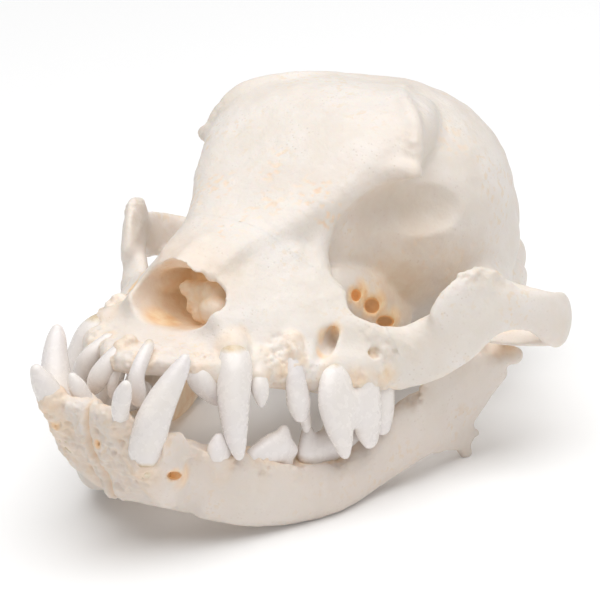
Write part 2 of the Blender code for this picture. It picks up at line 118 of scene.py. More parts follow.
def ball(centre, radii, turn=(0, 0, 0), mirror=False):
    """An ellipsoid, turned by degrees about x, y and z."""
    bm = bmesh.new()
    bmesh.ops.create_uvsphere(bm, u_segments=32, v_segments=16, radius=1)
    place = Matrix.Translation(Vector(centre) * MM)
    turned = Euler([math.radians(angle) for angle in turn]).to_matrix().to_4x4()
    size = Matrix.Diagonal((*(Vector(radii) * MM), 1))
    bmesh.ops.transform(bm, matrix=place @ turned @ size, verts=bm.verts)
    return finish_piece(bm, mirror)


def through(keys, steps):
    """Rows of numbers on a smooth curve through the key rows."""
    keys = np.array(keys, float)
    ends = np.vstack([2 * keys[0] - keys[1], keys, 2 * keys[-1] - keys[-2]])
    rows = []
    for a, b, c, d in zip(ends, ends[1:], ends[2:], ends[3:]):
        for step in range(steps):
            t = step / steps
            line = 2 * b + (c - a) * t
            bend = (2 * a - 5 * b + 4 * c - d) * t**2
            twist = (3 * b - a - 3 * c + d) * t**3
            rows.append((line + bend + twist) / 2)
    rows.append(keys[-1])
    return rows


def limb(keys, up=(0, 0, 1), steps=5, sides=20, power=2.0, under=1.0, reach=None, mirror=False):
    """A loft through superellipses, from keys of x, y, z, half width and half height along up.

    Its two ends are rounded over by the reach, or by the smaller half size. Below its line the
    section is as deep as the factor under.
    """
    rows = through(keys, steps)
    centres = [Vector(row[:3]) for row in rows]
    last = len(rows) - 1
    runs = [
        (centres[min(i + 1, last)] - centres[max(i - 1, 0)]).normalized() for i in range(last + 1)
    ]

    def dome(end, sign):
        """Stations that round over one end, from its tip inward."""
        w, h = rows[end][3:]
        deep = reach or min(w, h)
        made = []
        for angle in DOME_ANGLES:
            out, size = math.sin(angle), math.cos(angle)
            tip = centres[end] + runs[end] * deep * out * sign
            made.append((tip, runs[end], w * size, h * size))
        return made

    along = [(centre, run, *row[3:]) for centre, run, row in zip(centres, runs, rows)]
    stations = dome(0, -1) + along + dome(-1, 1)[::-1]
    bm = bmesh.new()
    rings = []
    for centre, run, w, h in stations:
        side = run.cross(Vector(up)).normalized()
        top = side.cross(run)
        ring = []
        for i in range(sides):
            c, s = math.cos(math.tau * i / sides), math.sin(math.tau * i / sides)
            depth = h if s > 0 else h * under
            across = side * math.copysign(w * abs(c) ** (2 / power), c)
            above = top * math.copysign(depth * abs(s) ** (2 / power), s)
            ring.append(bm.verts.new((centre + across + above) * MM))
        rings.append(ring)
    for one, other in zip(rings, rings[1:]):
        for i in range(sides):
            j = (i + 1) % sides
            bm.faces.new((one[i], one[j], other[j], other[i]))
    bm.faces.new(reversed(rings[0]))
    bm.faces.new(rings[-1])
    return finish_piece(bm, mirror)


def box(low, high):
    bm = bmesh.new()
    bmesh.ops.create_cube(bm, size=1)
    low, high = Vector(low) * MM, Vector(high) * MM
    for vert in bm.verts:
        vert.co = [a + (b - a) * (c + 0.5) for a, b, c in zip(low, high, vert.co)]
    return finish_piece(bm, False)


def apply(obj):
    bpy.context.view_layer.update()
    graph = bpy.context.evaluated_depsgraph_get()
    mesh = bpy.data.meshes.new_from_object(obj.evaluated_get(graph))
    obj.modifiers.clear()
    obj.data = mesh
    return obj


def joined(name, objs):
    bm = bmesh.new()
    for obj in objs:
        bm.from_mesh(obj.data)
        bpy.data.objects.remove(obj)
    mesh = bpy.data.meshes.new(name)
    bm.to_mesh(mesh)
    bm.free()
    return link(name, mesh)


def copy_of(obj):
    copied = obj.copy()
    copied.data = obj.data.copy()
    bpy.context.scene.collection.objects.link(copied)
    return copied


def add_remesh(obj, cell):
    modifier = obj.modifiers.new("one body", "REMESH")
    modifier.mode = "VOXEL"
    modifier.voxel_size = cell * MM
    modifier.use_smooth_shade = True


def add_smooth(obj, reach, cell):
    modifier = obj.modifiers.new("soften", "SMOOTH")
    modifier.factor = 0.5
    modifier.iterations = max(1, round(4 * (reach / cell) ** 2))


def fuse(name, pieces, cell, fillet, finish):
    """One body of the pieces: smoothing fills the joints, and the pieces keep their size."""
    full = [copy_of(piece) for piece in pieces]
    soft = joined(name, pieces)
    add_remesh(soft, cell)
    add_smooth(soft, fillet, cell)
    apply(soft)
    whole = joined(name, [soft, *full])
    add_remesh(whole, cell)
    add_smooth(whole, finish, cell)
    return apply(whole)


def combine(obj, tool, operation, solver="MANIFOLD"):
    modifier = obj.modifiers.new(operation.lower(), "BOOLEAN")
    modifier.operation = operation
    modifier.solver = solver
    modifier.object = tool
    apply(obj)
    bpy.data.objects.remove(tool)
    return obj


def carve(obj, cutters, cell, finish):
    tool = joined("cutters", cutters)
    add_remesh(tool, cell)
    combine(obj, apply(tool), "DIFFERENCE")
    add_remesh(obj, cell)
    add_smooth(obj, finish, cell)
    return apply(obj)


def smooth(share):
    share = np.clip(share, 0, 1)
    return share * share * (3 - 2 * share)


def hashed(cell, seed):
    """A fixed random value from -1 to 1 for each cell of a lattice."""
    key = seed * SEED_SPREAD
    for axis, spread in enumerate(SPREAD):
        key = key ^ (cell[:, axis] * spread)
    key = ((key ^ (key >> 13)) * 1274126177) & 0xFFFFFFFF
    return ((key ^ (key >> 16)) & 0xFFFF) / 32767.5 - 1


def field(points, size, seed):
    """Smooth random values from -1 to 1 at points, on a lattice of this size."""
    grid = points / size + 500
    corner = np.floor(grid).astype(np.int64)
    part = smooth(grid - corner)
    total = np.zeros(len(points))
    for step in np.ndindex(2, 2, 2):
        weight = np.where(np.array(step), part, 1 - part).prod(axis=1)
        total += weight * hashed(corner + step, seed)
    return total


def pits(points, size, seed):
    """Round pits scattered on a lattice of this size, 0 between them and 1 in their middles."""
    grid = points / size + 500
    corner = np.floor(grid).astype(np.int64)
    least = np.full(len(points), 9.0)
    for step in np.ndindex(3, 3, 3):
        cell = corner + step - 1
        shift = np.stack([hashed(cell, seed + axis) for axis in range(3)], axis=1)
        away = grid - cell - 0.5 - 0.35 * shift
        least = np.minimum(least, (away**2).sum(axis=1))
    return smooth(1 - np.sqrt(least) / 0.5)


def layered(points, size, seed, layers=3):
    """Field with finer and weaker layers added."""
    return sum(field(points, size / 2**i, seed + i) / 1.8**i for i in range(layers))


def points_of(obj):
    co = np.empty(len(obj.data.vertices) * 3)
    obj.data.vertices.foreach_get("co", co)
    return co.reshape(-1, 3) / MM


def normals_of(obj):
    normals = np.empty(len(obj.data.vertices) * 3)
    obj.data.vertex_normals.foreach_get("vector", normals)
    return normals.reshape(-1, 3)


def near(points, spots):
    """Nearness of the points to spots of x, y, z, radius and strength, at most the strength."""
    most = np.zeros(len(points))
    for x, y, z, radius, strength in spots:
        away = np.linalg.norm(points - (x, y, z), axis=1) / radius
        most = np.maximum(most, strength * smooth(1.5 - away))
    return most


def both_sides(spots):
    return spots + [(-x, *rest) for x, *rest in spots]


def set_points(obj, points):
    obj.data.vertices.foreach_set("co", (points * MM).ravel())
    obj.data.update()


def move_out(obj, height):
    """Moves each point of a bone along its normal by its height."""
    set_points(obj, points_of(obj) + normals_of(obj) * height[:, None])


def calm_of(points, lower):
    """1 away from the cuts between the bones and 0 on them, so that their edges keep meeting."""
    side = np.abs(points[:, 0])
    if lower:
        return smooth(side / 0.9) ** 2
    suture = np.abs(points @ SUTURE - SUTURE_LEVEL) / np.linalg.norm(SUTURE)
    a, b, c = CHEEK_SUTURE
    cheek = np.abs(a * side + b * points[:, 1] + c * points[:, 2] - CHEEK_LEVEL)
    cheek = np.where(side > ARCH_START, cheek, 9)
    return smooth(np.minimum(suture, cheek) / 1.2)


def in_groove(points, width):
    """1 in the middle of the groove where the jaw halves meet and 0 away from it."""
    return smooth((GROOVE_BACK - points[:, 1]) / 3) * np.exp(-((points[:, 0] / width) ** 2))


def roughen(obj, rough, lower):
    """Fine grain, with lumps and pits where the bone is rough, and the groove of the jaws."""
    points = points_of(obj)
    height = 0.05 * field(points, 1.5, 21)
    where = rough > 0.03
    here = points[where]
    lumps = 0.75 * layered(here, 2.6, 31) + 0.4 * field(here, 1.1, 41) - 0.6 * pits(here, 1.6, 51)
    height[where] += rough[where] * lumps
    height *= calm_of(points, lower)
    move_out(obj, height)
    if lower:
        points = points_of(obj)
        set_points(obj, points + 1.1 * in_groove(points, 0.6)[:, None] * (0, 0.85, 0.5))


def paint(obj, name, values):
    layer = obj.data.attributes.new(name, "FLOAT", "POINT")
    layer.data.foreach_set("value", np.clip(values, 0, 1).astype(np.float32))


def largest(obj):
    """Keeps the closed surface that holds the most points."""
    mesh = obj.data
    edges = np.empty(len(mesh.edges) * 2, np.int64)
    mesh.edges.foreach_get("vertices", edges)
    edges = edges.reshape(-1, 2)
    label = np.arange(len(mesh.vertices))
    while True:
        low = np.minimum(label[edges[:, 0]], label[edges[:, 1]])
        before = label.copy()
        np.minimum.at(label, edges[:, 0], low)
        np.minimum.at(label, edges[:, 1], low)
        label = label[label]
        if (before == label).all():
            break
    names, counts = np.unique(label, return_counts=True)
    loose = np.flatnonzero(label != names[counts.argmax()])
    if len(loose):
        bm = bmesh.new()
        bm.from_mesh(mesh)
        bm.verts.ensure_lookup_table()
        bmesh.ops.delete(bm, geom=[bm.verts[i] for i in loose], context="VERTS")
        bm.to_mesh(mesh)
        bm.free()
    return obj


def half_space(normal, level):
    """A large block that fills the space where the product with the normal is over the level."""
    normal = Vector(normal)
    level /= normal.length
    reach = 200
    bm = bmesh.new()
    bmesh.ops.create_cube(bm, size=2 * reach * MM)
    bmesh.ops.translate(bm, vec=(0, 0, (reach + level) * MM), verts=bm.verts)
    turned = normal.to_track_quat("Z", "Y").to_matrix().to_4x4()
    bmesh.ops.transform(bm, matrix=turned, verts=bm.verts)
    return finish_piece(bm, False)


def arch_space(mirror):
    """Space of one arch: beyond the suture on the cheek, and outside the braincase."""
    outer = box((27.6, -30, 0), (70, 16, 70))
    outer = combine(outer, box((34, -30, 1), (71, 45, 71)), "UNION", "EXACT")
    if mirror:
        outer.data.transform(Matrix.Scale(-1, 4, (1, 0, 0)))
        outer.data.flip_normals()
    x, y, z = CHEEK_SUTURE
    beyond = half_space((-x if mirror else x, y, z), CHEEK_LEVEL)
    return combine(outer, beyond, "INTERSECT", "EXACT")


def braincase_forms():
    return [
        ball((0, 26, 48.4), (HALF_BRAIN, 28.5, 24)),
        ball((0, 34, 41), (25.5, 20, 17)),
        ball((0, 4, 50), (17, 20, 16)),
        # Forehead, from the root of the nose over its top to the back
        limb([
            (0, -24, 48.8, 8.6, 4), (0, -15, 52.0, 12.5, 5), (0, -6, 57.0, 17.5, 6),
            (0, 3, 62.0, 21, 7.2), (0, 12, 65.6, 22, 7.6), (0, 22, 66.6, 18, 6.4),
            (0, 32, 65.0, 10, 4.4),
        ], power=2.9, sides=32),
        # Base of the skull
        limb([
            (0, -8, 38, 13, 9), (0, 6, 37, 11.5, 9), (0, 22, 36, 14, 9), (0, 42, 33, 15, 7),
        ], power=2.4),
        limb([(0, 22, 28.5, 8, 4), (0, 42, 28, 9, 4), (0, 54, 31, 8.5, 4)], power=2.4),
        # Back of the skull, its upper bump and the rim round it
        ball((0, 49, 42), (18, 7, 17)),
        ball((0, 52, 57.5), (4.5, 3.5, 3.5)),
    ] + left_and_right(braincase_side)


def braincase_side(mirror):
    """Forms on one side of the braincase."""
    return [
        # Temporal line, from the brow's tip up and inward
        limb([
            (23, 6, 63, 2, 2), (22, 8.5, 67, 2, 2), (18.5, 12, 70.8, 1.8, 1.8),
            (11, 19, 72.4, 1.6, 1.6), (4, 32, 70, 1.6, 1.6),
        ], mirror=mirror),
        # Brow, from its tip round the orbit's inner rim
        limb([
            (HALF_BROW, 5.2, 62.4, 1.5, 1.5), (20, 3, 62.5, 2.4, 2.4), (16, -2, 61, 2.6, 2.6),
            (14.5, -7, 58, 2.6, 2.6), (13.4, -9.2, 52.6, 2.6, 2.6), (14.4, -12, 48, 2.6, 2.6),
            (17.4, -13.8, 43.3, 2.6, 2.6),
        ], mirror=mirror),
        # Crest of the neck muscles
        limb([
            (17, 44, 38, 3, 3), (16.6, 46, 46, 2.3, 2.3), (12, 50, 53.5, 2.2, 2.2),
            (3.5, 52.5, 58, 2.2, 2.2),
        ], mirror=mirror),
        # Ear region: bulla, crest, mastoid and the process under it
        ball((13.5, 31, 26), (7.5, 10, 7), mirror=mirror),
        limb([
            (24, 24, 37, 3, 4), (24.8, 31, 34.5, 2.6, 3.5), (21.3, 38.4, 34, 2.4, 3.6),
            (17.4, 43.6, 35.6, 2.8, 3.6),
        ], mirror=mirror),
        limb([
            (18.5, 45, 32, 4, 4), (17.5, 46.5, 25, 2.4, 3), (17, 46.5, 19, 1.4, 1.8),
        ], up=(0, 1, 0), mirror=mirror),
        ball((9, 57, 31.5), (4.5, 5.5, 5.5), turn=(0, 20, 0), mirror=mirror),
        # Root of the arch, with the process behind the jaw's joint
        limb([
            (21, 27, 36.5, 5, 6), (30, 24.5, 34.2, 4.5, 3.6), (38, 24.2, 34.8, 3, 3.4),
        ], mirror=mirror),
        limb([
            (29, 26, 30.5, 4, 3), (30.5, 26.3, 25.5, 3.6, 1.6),
        ], up=(0, 1, 0), mirror=mirror),
        # Wing beside the throat
        limb([
            (9.5, -4, 30, 1.6, 4), (9.5, 5, 28.5, 1.5, 4.5), (10, 13, 28.5, 1.5, 3.5),
        ], mirror=mirror),
    ]


def face_forms():
    return [
        # Side walls of the face, sloping out from the nasal bones to the cheeks
        limb([
            (0, -36.6, 34.2, 15.6, 16.2), (0, -29, 34.0, 20.4, 19.0), (0, -19, 34.2, 26.6, 20.8),
            (0, -11, 36, 29, 21.6),
        ], power=1.3, under=0.12, reach=1.5, sides=32),
        # Upper jaw, from the incisors back under the orbits
        limb([
            (0, -50, 34.6, 5, 1.8), (0, -46.5, 34.6, 9, 2.4), (0, -41, 34.4, 13, 3.2),
            (0, -35, 34.6, 16.4, 3.6), (0, -29, 34.6, 19, 3.6), (0, -22, 35, 22, 4.2),
            (0, -14, 36, 23, 6), (0, -6, 38, 19, 8.5),
        ], power=2.9, sides=32),
        # Nasal bones
        limb([
            (0, -29.8, 49.0, 7.8, 2.2), (0, -25, 50.6, 8.6, 3), (0, -16, 52.4, 10, 4.5),
        ], power=2.4),
        # Palate
        limb([
            (0, -38, 33.6, 13, 2.2), (0, -28, 32.6, 17, 2.2), (0, -15, 30.5, 22, 2.4),
            (0, -4, 28, 20, 2.4),
        ], power=3),
    ] + left_and_right(face_side)


def face_side(mirror):
    """Forms on one side of the face."""
    return [
        # Swelling over the canine's root
        limb([
            (16.2, -38.8, 33.2, 3.1, 3), (13.2, -36.6, 36.2, 2.9, 2.9),
            (9.8, -33.4, 39.8, 2.2, 2.2),
        ], mirror=mirror),
        # Rim that holds the cheek teeth
        limb([
            (12, -43, 34, 2.4, 2.6), (15.3, -39, 33.4, 2.7, 3), (18.4, -31, 32.4, 3.1, 3.8),
            (23.6, -22, 30.6, 3.6, 4.4), (27.2, -13, 30, 4.5, 5), (28, -6, 28.8, 4.2, 4.4),
        ], mirror=mirror),
        # Cheek, out to the root of the arch
        limb([
            (18, -21, 35.5, 4, 6), (24, -14.5, 34, 4, 6), (30.5, -8.5, 31.2, 3.4, 5.2),
        ], mirror=mirror),
        # Lower rim of the orbit
        limb([
            (17.4, -13.8, 43.3, 2.6, 2.6), (22.6, -13.7, 39.6, 2.5, 2.5),
            (28, -12.2, 36, 2.4, 2.4), (32, -7, 34, 2.6, 2.6),
        ], mirror=mirror),
    ]


def arch_forms(mirror):
    return [
        limb([
            (26.5, -13, 31.6, 3.2, 6.2), (31.5, -7.5, 31, 3.2, 6), (37.5, -2.4, 34.3, 2.5, 6),
            (43, 4, 39, 1.9, 4.6), (47, 11.5, 38.2, 1.7, 4.1),
            (HALF_ARCH - 1.7, 17.6, 35.3, 1.9, 5.4), (45, 22.8, 34.4, 2.2, 4.6),
            (38, 24.2, 34.8, 3, 3.4), (29, 24.8, 34.5, 4, 4),
        ], mirror=mirror),
        # Process behind the orbit, a low rounded bump
        limb([
            (37.8, -4.4, 38.6, 1.8, 3.4), (39.6, -1.2, 42.6, 1.9, 4), (41.2, 2, 43.6, 1.9, 4.6),
            (43, 5.4, 42, 1.8, 3.8), (45, 8.6, 39.6, 1.7, 3),
        ], mirror=mirror),
        # Roof over the jaw's joint
        limb([
            (36.6, 17.5, 30.5, 6.4, 1.1), (41, 17.6, 30.5, 5.6, 1.1), (46.2, 18.4, 31, 3, 1.2),
        ], mirror=mirror),
    ]


def cranium_cutters():
    return [
        # Nose opening and the passage behind it
        ball((0, -33.8, 43.2), (10.2, 7, 5.7), turn=(-20, 0, 0)),
        limb([(0, -38, 42.8, 9.2, 4.6), (0, -26, 42, 8, 5.5), (0, -14, 40.5, 7, 5)], power=2.3),
        # Throat opening behind the palate
        limb([(0, -1, 30, 7, 2.6), (0, 8, 28.5, 7.2, 3.6), (0, 16, 26.5, 7.2, 3.4)], power=2.4),
        # Hole for the spinal cord, and the hollow of the brain behind it
        limb([(0, 36, 41, 6.4, 5.4), (0, 46, 38.4, 6.7, 6), (0, 64, 38.5, 7.2, 6.6)]),
        ball((0, 27, 50), (HALF_BRAIN - 4, 22, 17.5)),
    ] + left_and_right(cranium_side_cutters)


def cranium_side_cutters(mirror):
    """Hollows on one side of the skull."""
    return [
        # Orbit, hollowed under the brow and behind its lower rim
        ball((27.6, -1, 49), (11.6, 11.5, 11.5), mirror=mirror),
        ball((24, -5.5, 39.6), (7.6, 9, 6.4), turn=(0, -25, 0), mirror=mirror),
        limb([
            (24, -7, 51.5, 8.5, 7.5), (24.5, 0, 53.5, 9, 7.5), (27, 8, 54.5, 9, 7),
            (31.5, 15, 54, 7.6, 7), (36.5, 22, 53.5, 7, 7.4),
        ], mirror=mirror),
        # Canal from under the orbit out to the cheek, and the ear hole
        limb([
            (25.5, -26, 35.8, 1.5, 2.9), (23.2, -18, 36, 1.4, 2.5), (22, -8, 37, 1.8, 2.2),
        ], mirror=mirror),
        limb([(28.5, 34.5, 33, 2.4, 2.4), (20, 34, 32, 1.8, 1.8)], mirror=mirror),
    ]


def jaw_forms(mirror):
    return [
        # Body, from the chin to the root of the ramus
        limb([
            (13.6, -42.6, 13, JAW_THICKNESS, 7.2), (15.8, -39.6, 12.2, JAW_THICKNESS, 7.4),
            (18.6, -34.5, 10.9, JAW_THICKNESS, 7.7), (21.8, -27, 9.3, JAW_THICKNESS, 6.8),
            (24.6, -19, 9.1, JAW_THICKNESS, 6), (26.6, -11, 11.4, 3.5, 5.7),
            (30, -3, 15.6, 2.9, 6.4), (31.6, 4, 17, 2.2, 6.4),
        ], mirror=mirror),
        # Front of the body, leaning out over the chin
        limb([
            (-3, -52.4, 16.8, 3.6, 7.4), (3.4, -51.5, 16.5, 3.6, 7.6), (7, -49, 15.5, 3.8, 7.8),
            (12.4, -43.6, 13.4, 4, 7.6),
        ], up=(0.55, 0, 1), mirror=mirror),
        # Chin, sloping forward up to the incisors
        limb([
            (2, -50.5, 12.5, 6.6, 2.4), (2.3, -54, 18, 7.2, 3.4), (2.6, -57.5, 24, 7.8, 3.4),
            (2.6, -59, 27.5, 7.2, 2.2),
        ], up=(0, 1, 0), mirror=mirror),
        # Socket of the canine
        limb([
            (11, -55.2, 21.4, 4.5, 4.3), (10.4, -52.2, 16.8, 4.4, 4.3), (9, -49, 12.6, 3.8, 3.8),
        ], mirror=mirror),
        # Ridge behind the canine, rising to its outer side
        limb([
            (14, -46, 19.5, 1.8, 2.4), (14, -51, 22.4, 1.8, 2.4), (14, -54.2, 24, 1.2, 1.4),
        ], mirror=mirror),
        # Ramus, up to its tip and back to the joint
        limb([
            (30.8, 0.5, 13.5, 2.2, 8), (32, 6, 21.5, 1.7, 9.8), (33, 9.6, 27.4, 1.5, 8.6),
            (31.6, 10.8, 33.6, 1.2, 3.6),
        ], up=(0, 1, 0), mirror=mirror),
        limb([
            (31.4, 6, 14.5, 1.8, 6.8), (33, 11, 19.4, 1.9, 6.5), (35.6, 16, 24.2, 2, 4.4),
        ], up=(0, 1, -0.6), mirror=mirror),
        limb([
            (30.2, 18.4, 26, 1.8, 2), (35, 18.2, 26.4, 2.1, 2.1), (38.4, 18.4, 26.4, 1.7, 1.8),
        ], mirror=mirror),
        # Angle with its two points, the upper behind and the lower on the floor
        limb([
            (31, 2, 14, 1.9, 3.2), (31.6, 9.5, 11.5, 1.8, 2.8), (32, 12.6, 11.4, 1.5, 2.3),
        ], mirror=mirror),
        limb([(31.9, 12, 11.6, 1.4, 1.3), (32.2, 14.8, 10.8, 1, 0.9)], mirror=mirror),
        limb([(31.6, 10.4, 10.4, 1.5, 1.6), (31.8, 12.3, 7.5, 1.2, 1.2)], mirror=mirror),
    ]


def orbit_forms(mirror):
    """Inner wall low in the orbit."""
    return [
        limb([
            (15.2, -9, 41, 3.6, 5), (15.2, -2, 38.4, 3.8, 6), (15, 5, 35, 4, 6),
            (14.5, 12, 31.5, 4, 5),
        ], mirror=mirror)
    ]


def orbit_holes(mirror):
    """Three holes in the orbit's inner wall, and the pit under the brow."""
    return [
        limb([(21.8, -9.3, 41.7, 1.0, 1.3), (16.0, -1.6, 38.9, 0.9, 1.2)], mirror=mirror),
        limb([(21.3, -3.6, 38.2, 1.6, 1.6), (15.4, 4.3, 35.3, 1.4, 1.4)], mirror=mirror),
        limb([(21.3, 0.8, 34.1, 1.9, 1.1), (15.0, 9.2, 31.0, 1.7, 1.0)], mirror=mirror),
        ball((19, 1.6, 62.2), (0.6, 0.9, 0.6), mirror=mirror),
    ]


def nose_forms():
    """Lining of the nose: a fold on its right wall, the back wall, the curled bones and a knob."""
    return [
        ball((5.7, -31.2, 47.9), (1.5, 1.5, 1.4)),
        ball((-8.6, -22, 43.4), (2.4, 8, 3.2)),
        ball((0, -18, 42), (9, 5, 8)),
        ball((0.6, -27.6, 41.4), (3.2, 3.2, 3.8)),
        ball((-1.8, -28.6, 43.2), (1.8, 2.0, 1.8)),
        ball((3.8, -28.2, 42.6), (3.0, 3.0, 3.4)),
        ball((5.6, -30.6, 41), (3.2, 2.8, 2.6)),
        ball((2.4, -29, 39.4), (3.0, 2.4, 1.8)),
    ]


def nose_cutters():
    """Upper part of the nose's opening."""
    return [limb([(-0.6, -43, 50.4, 4.9, 3.2), (-0.6, -33, 46.6, 4.7, 3.2)])]


def face_cutters(mirror):
    """Small holes of the face, and the hollows in the cheek."""
    return [
        limb([(25.5, -26, 35.8, 1.5, 2.9), (23.4, -19.5, 36, 1.2, 2.3)], mirror=mirror),
        limb([(22.2, -33.4, 36, 0.5, 0.5), (19, -29.6, 34.2, 0.4, 0.4)], mirror=mirror),
        limb([(13.8, -43.8, 37.2, 0.6, 0.5), (11.8, -40.6, 35.6, 0.5, 0.5)], mirror=mirror),
        ball((30.6, -14.6, 33.4), (2.4, 1.3, 1.0), mirror=mirror),
        ball((33.8, -11.4, 33.2), (2.2, 1.3, 0.8), mirror=mirror),
    ]


def mandible_forms(mirror):
    """Rim of thin bone along the lower cheek teeth, and a fuller back edge of the ramus."""
    return [
        limb([
            (15.0, -47, 19.4, 1.6, 1.4), (16.8, -42.6, 17.0, 1.8, 1.5), (19, -38, 14.8, 2.2, 1.6),
            (22.6, -29.5, 11.2, 2.6, 1.6), (25.4, -19.5, 11.2, 2.6, 1.6),
        ], mirror=mirror),
        limb([(31.6, 4, 20, 2.2, 8), (34.4, 12.6, 24, 2, 5.4)], up=(0, 1, -0.6), mirror=mirror),
    ]


def mandible_cutters(mirror):
    """Edge of the jaw between the teeth, the open front of the canine's socket, small holes."""
    return [
        limb([
            (14.6, -48.4, 24.4, 4, 3), (16.6, -42.4, 21.7, 4.5, 3), (19, -38, 21.2, 4.5, 3),
            (22.6, -29.5, 17.6, 4.5, 3), (25.4, -19.5, 16, 4.5, 3),
        ], mirror=mirror),
        ball((13.6, -60.6, 23.2), (3.6, 4.0, 4.0), mirror=mirror),
        limb([(16.8, -57.0, 18.4, 1.55, 0.95), (12.6, -51.4, 16.4, 1.3, 0.8)], mirror=mirror),
        limb([(2.6, -62, 23.1, 0.45, 0.7), (2.0, -58.6, 22, 0.4, 0.6)], mirror=mirror),
        ball((7.7, -60.4, 24), (0.9, 1.3, 0.9), mirror=mirror),
        limb([(19.2, -45.6, 13, 0.9, 0.4), (16.6, -42.6, 12.4, 0.7, 0.35)], mirror=mirror),
    ]


def tooth_limb(keys):
    run = Vector(keys[-1][:3]) - Vector(keys[0][:3])
    return limb(keys, up=(0, 0, 1) if abs(run.y) > abs(run.z) else (0, 1, 0), sides=30, steps=8)


def grown(keys, extra):
    return [(x, y, z, w + extra, h + extra) for x, y, z, w, h in keys]


def root_of(keys, neck):
    """The keys of a tooth from its root's end to where it crosses the height of its neck."""
    kept = [keys[0]]
    for one, other in zip(keys, keys[1:]):
        if (one[2] - neck) * (other[2] - neck) <= 0:
            share = (neck - one[2]) / (other[2] - one[2])
            kept.append(tuple(a + (b - a) * share for a, b in zip(one, other)))
            return kept
        kept.append(other)
    return kept


def sleeves(teeth, down, extra):
    """Bone round the roots of the teeth, up to a little short of their necks."""
    made = []
    for neck, *limbs in teeth.values():
        end = neck + (0.8 if down else -0.8)
        for keys in limbs:
            if (keys[0][2] > end) == down and abs(keys[0][2] - end) > 1:
                rooted = grown(root_of(keys, end), extra)
                made.append(limb(rooted, up=(0, 1, 0), sides=16, steps=4))
    return made


def refine(obj, added, taken, cell, finish):
    """Joins small forms to a bone, carves small hollows in it and softens it a little."""
    whole = joined(obj.name, [obj, *added])
    add_remesh(whole, cell)
    return carve(apply(whole), taken, cell, finish)


def gathered(keys_list, name, cell):
    """One closed body of limbs, each given by its keys."""
    obj = joined(name, [tooth_limb(keys) for keys in keys_list])
    add_remesh(obj, cell)
    add_smooth(obj, 1.0, cell)
    return apply(obj)


# Each tooth is the height of its neck, then one or more limbs from its root to its tip, by x, y, z
# and half sizes
UPPER_LEFT = {
    "canine": [35, [
        (11.5, -32, 39.5, 1.4, 1.6), (14, -35.8, 36.8, 2.6, 2.8), (16.2, -38.4, 34.4, 3.2, 3.4),
        (17.3, -40.0, 31.5, 3.1, 3.3), (18.3, -41.4, 27.5, 2.8, 3.0),
        (19.2, -42.1, 23.4, 2.2, 2.4), (19.7, -42.1, 20.4, 1.6, 1.7),
        (19.9, -42.0, 18.9, 1.1, 1.1),
    ]],
    "third_incisor": [35.6, [
        (9.8, -38.0, 35.4, 1.3, 1.4), (10.6, -40.6, 34.2, 1.8, 1.8), (12.0, -43.2, 32.8, 2.8, 2.4),
        (12.9, -41.8, 30.2, 2.6, 2.2), (13.6, -40.4, 28.2, 1.7, 1.6),
    ]],
    "first_premolar": [31.6, [
        (18.2, -33.8, 35, 1.4, 1.5), (19.4, -35.4, 32.4, 1.5, 1.6), (20.1, -36, 30.4, 1.7, 1.9),
        (20.4, -36.1, 28.8, 1.5, 1.6), (20.5, -36.1, 27.4, 1.0, 1.0),
    ]],
    "third_premolar": [32.6, [
        (21.2, -27.6, 37, 1.4, 1.6), (22.3, -28.4, 32.5, 1.6, 2.0), (22.9, -28.8, 29, 1.9, 2.4),
        (23.5, -28.9, 26, 2.0, 2.6), (23.9, -28.9, 24, 1.5, 1.8),
    ], [
        (22.4, -27.4, 27.4, 1.2, 1.4), (23.0, -26.4, 22.6, 1.2, 1.4), (23.2, -26.2, 20.4, 0.9, 1),
    ]],
    "fourth_premolar": [30.2, [
        (26.4, -21.6, 31.6, 1.6, 2.4), (27.0, -22.4, 29.6, 2.3, 3.8), (27.9, -23.6, 26, 2.5, 4.3),
        (28.8, -23.8, 22, 2.2, 3.5), (29.5, -23.6, 18.6, 1.7, 2.3), (29.8, -23.3, 16.2, 1.1, 1.2),
    ], [
        (27.6, -14.4, 33.5, 1.7, 2.2), (28.6, -15.4, 28, 2.1, 3.0), (29.3, -16.2, 23.5, 2.2, 3.8),
        (29.9, -16.4, 19.6, 1.9, 3.4), (30.1, -15.8, 16.6, 1.2, 2.0),
    ], [
        (28.4, -20.4, 25.6, 2.1, 3.2), (29.2, -20, 22, 1.7, 2.6),
    ]],
    "molar": [27.6, [
        (28, -10.2, 30, 1.7, 2.4), (28.8, -11, 25, 2.2, 3.1), (29.3, -11.4, 21, 2.0, 3.0),
        (29.6, -11.4, 18, 1.4, 1.9),
    ], [
        (25.4, -8.8, 29.4, 2.4, 2.8), (24.8, -9, 23.4, 2.4, 2.6),
    ]],
}
LEFT_ONLY = {
    "second_incisor": [36.6, [
        (4.0, -47.4, 38.2, 1.1, 1.2), (4.6, -50.4, 36.2, 1.4, 1.5), (4.9, -52.5, 33.6, 1.6, 1.5),
        (4.8, -52.3, 31.0, 1.9, 1.7), (4.6, -51.7, 28.8, 1.6, 1.3),
    ]],
}
RIGHT_ONLY = {
    "second_incisor": [35.2, [
        (2.2, -46.8, 37.4, 1.2, 1.3), (3.0, -49.6, 34.8, 1.8, 1.7), (4.4, -51.5, 31.8, 2.1, 1.9),
        (5.8, -51.3, 29.4, 1.7, 1.5), (6.4, -51, 28.3, 1.0, 0.9),
    ]],
    "third_incisor_small": [35, [
        (9.2, -43.6, 36.0, 1.3, 1.4), (10.9, -46.2, 33, 1.9, 1.9), (12.6, -46.8, 30, 1.8, 1.7),
        (13.4, -46.2, 28.4, 1.0, 1.0),
    ]],
}
